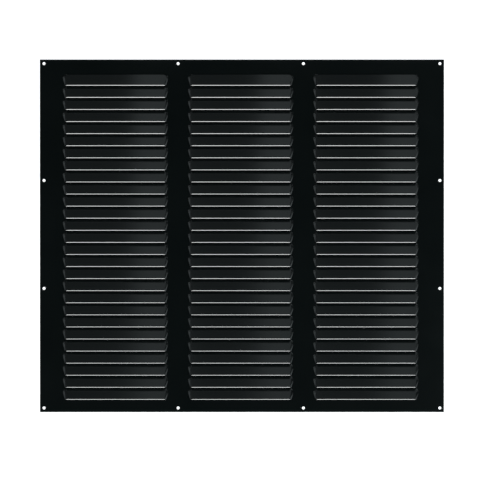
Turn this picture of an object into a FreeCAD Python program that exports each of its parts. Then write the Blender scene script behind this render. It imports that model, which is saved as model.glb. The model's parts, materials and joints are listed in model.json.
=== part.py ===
"""Louvred sheet metal panel: one flat steel sheet with three columns of closed-end louvres.

The sheet lies on its back face. X runs across the panel, +Y towards its top edge and +Z out of the
sheet, on the side where the louvres rise. The origin is the centre of the back face. Every louvre
opens downwards, towards -Y. All dimensions are millimetres.
"""
import FreeCAD, Part
import math
import os

# Sheet blank
panel_width = 550.0
panel_height = 480.0
sheet_thickness = 1.0

# Louvre field: equal columns of equal louvres, one pitch of sheet per louvre
louvre_columns = 3
louvre_rows = 27
column_pitch = 170.5
louvre_pitch = 16.445
first_louvre_below_edge = 19.4
field_shift = -1.6

# One louvre: its foot on the front face and its sloping face, both tapered towards the mouth
louvre_width = 147.0
mouth_width = 137.6
louvre_rise = 7.7
shoulder_rise = 0.9
shoulder_run = 1.1
mouth_set_back = 0.85
land_between_louvres = 0.5
upper_end_run = 4.0
mouth_end_run = 2.2
foot_corner_radius = 5.5
face_corner_radius = 3.5
corner_flats = 4

# How far the inside of a bend stands in from its outside, in sheet thicknesses
bend_inset = 0.65

# Fixing holes: four corners, two on each side, and one at each end of the lands between columns
hole_diameter = 4.1
hole_edge_distance = 5.6
side_hole_spacing = 147.0
side_hole_shift = 1.9

# Reach of a cutting form past the face that it goes through
overcut = 1.0

louvre_run = louvre_pitch - land_between_louvres
face_run = louvre_run - mouth_set_back - shoulder_run
face_angle = math.atan2(louvre_rise - shoulder_rise, face_run)
face_length = face_run / math.cos(face_angle)


def outline(upper_half, mouth_half, run, radius):
    """Points of a flat outline, its upper line on Y = 0, tapered to a straight mouth on Y = -run.

    The upper corners are rounded in equal flats. The points run clockwise as seen from above.
    """
    lean = math.atan2(upper_half - mouth_half, run)
    sweep = math.pi / 2 + lean
    centre_x = upper_half - radius * math.tan(sweep / 2)
    right = []
    for step in range(corner_flats + 1):
        angle = math.pi / 2 - step * sweep / corner_flats
        x = centre_x + radius * math.cos(angle)
        right.append(FreeCAD.Vector(x, radius * math.sin(angle) - radius, 0))
    right.append(FreeCAD.Vector(mouth_half, -run, 0))
    left = [FreeCAD.Vector(-point.x, point.y, 0) for point in reversed(right)]
    return left + right


def level(points, y, z):
    """Outline set level, with its upper line at (y, z)."""
    return [point + FreeCAD.Vector(0, y, z) for point in points]


def sloped(points, y, z):
    """Outline tilted to the slope of a louvre's face, its mouth raised, its upper line at (y, z)."""
    rotation = FreeCAD.Rotation(FreeCAD.Vector(1, 0, 0), -math.degrees(face_angle))
    return [rotation.multVec(point) + FreeCAD.Vector(0, y, z) for point in points]


def drawn_form(outlines):
    """Solid through a stack of outlines. Each twisted side between two of them is two flats."""
    faces = [Part.Face(Part.makePolygon(end + end[:1])) for end in (outlines[0], outlines[-1])]
    for low, high in zip(outlines, outlines[1:]):
        for index in range(len(low)):
            lower_flat = [low[index], low[index - 1], high[index], low[index]]
            upper_flat = [low[index - 1], high[index - 1], high[index], low[index - 1]]
            faces.append(Part.Face(Part.makePolygon(lower_flat)))
            faces.append(Part.Face(Part.makePolygon(upper_flat)))
    shell = Part.makeShell(faces)
    shell.sewShape()
    return Part.makeSolid(shell).removeSplitter()


def hood():
    """Outside form of one louvre, standing on the front face, its upper line on Y = 0."""
    foot = outline(louvre_width / 2, mouth_width / 2, louvre_run, foot_corner_radius)
    upper_half = louvre_width / 2 - upper_end_run
    mouth_half = mouth_width / 2 - mouth_end_run
    face = outline(upper_half, mouth_half, face_length, face_corner_radius)
    foot = level(foot, 0, sheet_thickness)
    face = sloped(face, -shoulder_run, sheet_thickness + shoulder_rise)
    return drawn_form([foot, face])


def hollow():
    """Space under one louvre, a sheet thickness inside the hood, open at the mouth and the back."""
    inset = bend_inset * sheet_thickness
    top_y = -shoulder_run - sheet_thickness * math.sin(face_angle) - inset * math.cos(face_angle)
    top_z = shoulder_rise + sheet_thickness * (1 - math.cos(face_angle)) + inset * math.sin(face_angle)
    upper_half = louvre_width / 2 - inset
    mouth_half = mouth_width / 2 - inset
    foot = outline(upper_half, mouth_half, louvre_run - inset, foot_corner_radius - inset)
    face_reach = (louvre_run + top_y) / math.cos(face_angle)
    upper_half = upper_half - upper_end_run
    mouth_half = mouth_half - mouth_end_run
    face = outline(upper_half, mouth_half, face_reach, face_corner_radius - inset)
    return drawn_form([level(foot, -inset, -overcut), level(foot, -inset, 0), sloped(face, top_y, top_z)])


def louvre_places():
    """Middle of the upper line of every louvre, column by column."""
    places = []
    top = panel_height / 2 - first_louvre_below_edge
    for column in range(louvre_columns):
        x = field_shift + (column - (louvre_columns - 1) / 2) * column_pitch
        for row in range(louvre_rows):
            places.append(FreeCAD.Vector(x, top - row * louvre_pitch, 0))
    return places


def hole_places():
    """Centres of the twelve fixing holes."""
    places = []
    edge_x = panel_width / 2 - hole_edge_distance
    edge_y = panel_height / 2 - hole_edge_distance
    for side in (-1, 1):
        for end in (-1, 1):
            land_x = field_shift + side * column_pitch / 2
            side_y = side_hole_shift + end * side_hole_spacing / 2
            places.append(FreeCAD.Vector(side * edge_x, end * edge_y, 0))
            places.append(FreeCAD.Vector(land_x, end * edge_y, 0))
            places.append(FreeCAD.Vector(side * edge_x, side_y, 0))
    return places


def copies(shape, places):
    """Copies of a shape, one moved to each place."""
    moved = []
    for place in places:
        copy = shape.copy()
        copy.translate(place)
        moved.append(copy)
    return moved


def blank():
    """Flat sheet with its fixing holes drilled."""
    corner = FreeCAD.Vector(-panel_width / 2, -panel_height / 2, 0)
    sheet = Part.makeBox(panel_width, panel_height, sheet_thickness, corner)
    drill_length = sheet_thickness + 2 * overcut
    drill = Part.makeCylinder(hole_diameter / 2, drill_length, FreeCAD.Vector(0, 0, -overcut))
    return sheet.cut(Part.makeCompound(copies(drill, hole_places())))


def louvred_panel():
    """Sheet with every louvre pressed out and its hollow opened."""
    places = louvre_places()
    solid = blank().multiFuse(copies(hood(), places))
    solid = solid.cut(Part.makeCompound(copies(hollow(), places)))
    return solid.removeSplitter().Solids[0]


os.makedirs("parts", exist_ok=True)
louvred_panel().exportStep("parts/louvred_panel.step")
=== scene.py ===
import json
import math
import bpy
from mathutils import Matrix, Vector


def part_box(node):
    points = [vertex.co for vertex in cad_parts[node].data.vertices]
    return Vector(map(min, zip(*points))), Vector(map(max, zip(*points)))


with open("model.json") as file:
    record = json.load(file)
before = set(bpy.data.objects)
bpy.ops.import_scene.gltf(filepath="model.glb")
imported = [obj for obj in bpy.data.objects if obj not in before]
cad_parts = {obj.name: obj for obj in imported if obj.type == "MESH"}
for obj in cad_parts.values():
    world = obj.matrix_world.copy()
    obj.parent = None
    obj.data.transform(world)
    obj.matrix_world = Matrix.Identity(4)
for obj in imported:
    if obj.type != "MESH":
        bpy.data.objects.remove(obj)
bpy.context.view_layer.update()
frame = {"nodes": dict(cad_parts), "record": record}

# The panel: one steel sheet with three columns of louvres pressed out of it and twelve screw holes
# punched through it. It is degreased and powder coated all over once it is pressed, and it lies on
# its back face. The tools leave a small round on every pressed and sheared edge.

panel = frame["nodes"]["louvred_panel"]
sheet_low, sheet_high = (Vector(corner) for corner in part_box("louvred_panel"))

edge_round = 0.00025
round_segments = 2
sharp_angle = math.radians(25)


def linear(hex_colour):
    """Linear RGBA of an sRGB hex colour."""
    channels = [int(hex_colour[i:i + 2], 16) / 255 for i in (1, 3, 5)]
    return [c / 12.92 if c <= 0.04045 else ((c + 0.055) / 1.055) ** 2.4 for c in channels] + [1.0]


def add_node(tree, kind, settings=(), **inputs):
    """Add a shader node of a kind with its settings, and put values or other sockets into its inputs.

    An input goes by its name, with underscores for spaces, or by its place, as _0 or _1.
    """
    node = tree.nodes.new("ShaderNode" + kind)
    for name, value in dict(settings).items():
        setattr(node, name, value)
    for name, value in inputs.items():
        socket = node.inputs[int(name[1:]) if name[0] == "_" else name.replace("_", " ")]
        if isinstance(value, bpy.types.NodeSocket):
            tree.links.new(value, socket)
        else:
            socket.default_value = value
    return node


def powder_coat():
    """Satin black polyester powder coat, sprayed on dry and baked on the pressed steel.

    It melts to a film, smoother than most satin coats, with an orange peel about a millimetre across
    that shows close up as a slight waver in the reflections. Its colour and gloss drift a little
    from place to place, as its thickness does. Polyester has the shader's default IOR of 1.5.
    """
    peel_width = 0.00111
    peel_depth = 0.00004
    peel_strength = 0.12
    patch_width = 0.111
    noise_low, noise_high = 0.3, 0.7
    darker_black, lighter_black = "#0a0e0e", "#0c1010"
    smoother, rougher = 0.13, 0.16

    material = bpy.data.materials.new("satin black powder coat")
    material.use_nodes = True
    tree = material.node_tree
    tree.nodes.clear()
    place = add_node(tree, "TexCoord").outputs["Object"]
    peel = add_node(tree, "TexNoise", Vector=place, Scale=1 / peel_width, Detail=2.0, Roughness=0.5)
    patches = add_node(tree, "TexNoise", Vector=place, Scale=1 / patch_width, Detail=3.0, Roughness=0.6)
    colour = add_node(tree, "ValToRGB", Fac=patches.outputs["Fac"])
    low_stop, high_stop = colour.color_ramp.elements
    low_stop.position = noise_low
    low_stop.color = linear(darker_black)
    high_stop.position = noise_high
    high_stop.color = linear(lighter_black)
    gloss = add_node(
        tree, "MapRange", Value=patches.outputs["Fac"],
        From_Min=noise_low, From_Max=noise_high, To_Min=smoother, To_Max=rougher,
    )
    bump = add_node(tree, "Bump", Height=peel.outputs["Fac"], Strength=peel_strength, Distance=peel_depth)
    film = add_node(
        tree, "BsdfPrincipled", Base_Color=colour.outputs["Color"],
        Roughness=gloss.outputs["Result"], Normal=bump.outputs["Normal"],
    )
    add_node(tree, "OutputMaterial", Surface=film.outputs["BSDF"])
    return material


panel.data.materials.clear()
panel.data.materials.append(powder_coat())
rounding = panel.modifiers.new("edge rounds", "BEVEL")
rounding.width = edge_round
rounding.segments = round_segments
rounding.limit_method = "ANGLE"
rounding.angle_limit = sharp_angle

# The floor: a sheet of board painted matt white, a hair's breadth under the panel. It belongs to
# the studio and reaches well past the view on all sides.

board_width = 6.0
board_gap = 0.0003
bpy.ops.mesh.primitive_plane_add(size=board_width, location=(0, 0, sheet_low.z - board_gap))
board = bpy.context.object
board.name = "floor_board"


def white_board():
    """Matt white paint that looks white where the lamps reach it and keeps the panel's shadow.

    It has a glow that only some rays find: those straight from the camera, and those mirrored or
    let through by a surface. The glow makes up what the lamps leave short of white, and throws no
    matt light on the panel. Rays straight from the camera find more of it, so that gaps look light.
    """
    straight_glow = 0.78
    mirrored_glow = 0.3

    material = bpy.data.materials.new("white board")
    material.use_nodes = True
    tree = material.node_tree
    tree.nodes.clear()
    paint = add_node(tree, "BsdfDiffuse", Color=linear("#f4f4f4"))
    ray = add_node(tree, "LightPath").outputs
    straight = add_node(
        tree, "Math", {"operation": "MULTIPLY"}, _0=ray["Is Camera Ray"], _1=straight_glow,
    )
    mirrored = add_node(
        tree, "Math", {"operation": "MAXIMUM"}, _0=ray["Is Glossy Ray"], _1=ray["Is Transmission Ray"],
    )
    strength = add_node(
        tree, "Math", {"operation": "MULTIPLY_ADD"},
        _0=mirrored.outputs[0], _1=mirrored_glow, _2=straight.outputs[0],
    )
    glow = add_node(tree, "Emission", Color=linear("#ffffff"), Strength=strength.outputs[0])
    both = add_node(tree, "AddShader", _0=paint.outputs[0], _1=glow.outputs[0])
    add_node(tree, "OutputMaterial", Surface=both.outputs[0])
    return material


board.data.materials.append(white_board())

# The camera: a long lens far above the panel, which shows it almost without perspective. It stands
# a little towards the panel's top edge, where the lips hide a little more of the gaps under them.

camera_distance = 18.0
camera_lean = math.radians(1.2)
camera_away = Vector((0, math.sin(camera_lean), math.cos(camera_lean)))
view_width = 0.6534
view_centre = Vector((-0.00266, -0.00561, 0))
sensor_width = 36.0
camera_data = bpy.data.cameras.new("camera")
camera_data.sensor_width = sensor_width
camera_data.lens = sensor_width * camera_distance / view_width
camera_data.clip_end = 30.0
camera = bpy.data.objects.new("camera", camera_data)
bpy.context.collection.objects.link(camera)
camera.location = view_centre + camera_distance * camera_away
camera.rotation_euler = (-camera_lean, 0, 0)
bpy.context.scene.camera = camera
bpy.context.scene.view_settings.view_transform = "Standard"

# The lamps: softboxes, which the camera doesn't see. Satin black shows little but reflections, so
# most of them hang where some of the louvres' flats mirror them to the camera.

lamp_colour = "#effcff"


def softbox(name, direction, distance, width, length, radiance, target=(0, 0, 0)):
    """Rectangular lamp that faces its target from a distance away in a direction.

    Its power is its radiance times pi times its area, so that its face is as bright at any size.
    """
    data = bpy.data.lights.new(name, "AREA")
    data.shape = "RECTANGLE"
    data.size = width
    data.size_y = length
    data.energy = radiance * math.pi * width * length
    data.color = linear(lamp_colour)[:3]
    lamp = bpy.data.objects.new(name, data)
    bpy.context.collection.objects.link(lamp)
    away = Vector(direction).normalized()
    lamp.location = Vector(target) + away * distance
    lamp.rotation_mode = "QUATERNION"
    lamp.rotation_quaternion = away.to_track_quat("Z", "Y")
    lamp.visible_camera = False


# The louvres' sloping faces mirror one strip over each column, which gives them a highlight right
# of their middle. The screw holes on the lands between the columns stand one column apart.
lands = next(mount for mount in frame["record"]["mounts"] if mount["name"] == "top_and_bottom_holes")
field_middle = lands["pos_m"][0]
column_pitch = lands["dims"]["spacing_x_mm"] / 1000
face_slope = math.radians(26.2)
face_mirror = (0, math.sin(2 * face_slope), math.cos(2 * face_slope))
highlight_offset = 0.055
strip_distance = 0.5
strip_width = 0.06
strip_length = 0.44
strip_radiance = 0.47
fan_out = 1 + strip_distance / camera_distance
for column in (-1, 0, 1):
    strip_x = (field_middle + column * column_pitch + highlight_offset) * fan_out
    softbox(
        f"strip_{column + 2}", face_mirror, strip_distance, strip_width, strip_length, strip_radiance,
        target=(strip_x, 0, sheet_high.z),
    )
softbox("top_bank", face_mirror, distance=0.9, width=1.6, length=0.5, radiance=0.15)

# The end walls mirror the lamps on their own side, straight or by way of the sheet beside them.
softbox("left_bank", (-1, -0.29, 0.28), distance=1.6, width=2.4, length=0.6, radiance=0.8)
softbox("left_fill", (-0.68, -0.21, 0.70), distance=1.9, width=1.2, length=1.2, radiance=1.6)
softbox("right_bank", (0.91, 0.42, 0.34), distance=1.6, width=1.3, length=0.7, radiance=1.4)
softbox("right_key", (0.516, -0.203, 0.832), distance=1.6, width=0.6, length=0.6, radiance=5.0)
softbox("right_fill", (0.68, -0.21, 0.70), distance=1.9, width=1.2, length=1.2, radiance=1.0)

# These two light the floor and the coat's own colour, clear of what the faces and the sheet mirror.
softbox("overhead_bank", (0, -0.85, 1), distance=2.2, width=1.6, length=0.8, radiance=5.5)
softbox("front_bank", (0, -1, 0.4), distance=2.2, width=1.6, length=0.9, radiance=0.8)

room_light = 0.01
world = bpy.data.worlds.new("studio")
bpy.context.scene.world = world
world.use_nodes = True
room = world.node_tree.nodes["Background"]
room.inputs["Color"].default_value = linear("#ffffff")
room.inputs["Strength"].default_value = room_light
